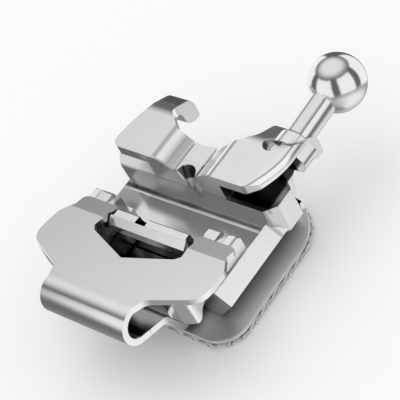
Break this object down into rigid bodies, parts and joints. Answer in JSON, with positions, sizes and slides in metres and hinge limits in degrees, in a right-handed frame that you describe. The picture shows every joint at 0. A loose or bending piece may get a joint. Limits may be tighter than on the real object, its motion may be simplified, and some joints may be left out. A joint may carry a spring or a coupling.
{
  "type": "orthodontic bracket",
  "caption": "Self-ligating orthodontic bracket with a curved gauze-backed base, tie wings, an archwire slot, a ball hook and a folded spring clip that slides shut over the slot.",
  "frame": {"origin": "on the plane that the base rests on, straight below the middle of the far slot wall", "axes": "+Z away from the tooth, +X along the archwire slot, +Y across the slot towards the ball hook"},
  "size_m": [0.0035, 0.0054, 0.0019],
  "materials": {
    "body_steel": "tumbled and polished metal moulding",
    "hook_steel": "turned and mirror polished",
    "pad_steel": "satin sheet",
    "gauze_steel": "etched woven wire",
    "clip_steel": "polished spring sheet"
  },
  "bodies": {
    "bracket": {"body": "body_steel", "ball_hook": "hook_steel", "bonding_pad": "pad_steel", "bonding_mesh": "gauze_steel"},
    "clip": {"spring_clip": "clip_steel"}
  },
  "joints": [
    {"name": "clip_slide", "type": "slide", "parent": "bracket", "child": "clip", "axis": [0, 1, 0], "range_m": [0, 0.00088]}
  ]
}
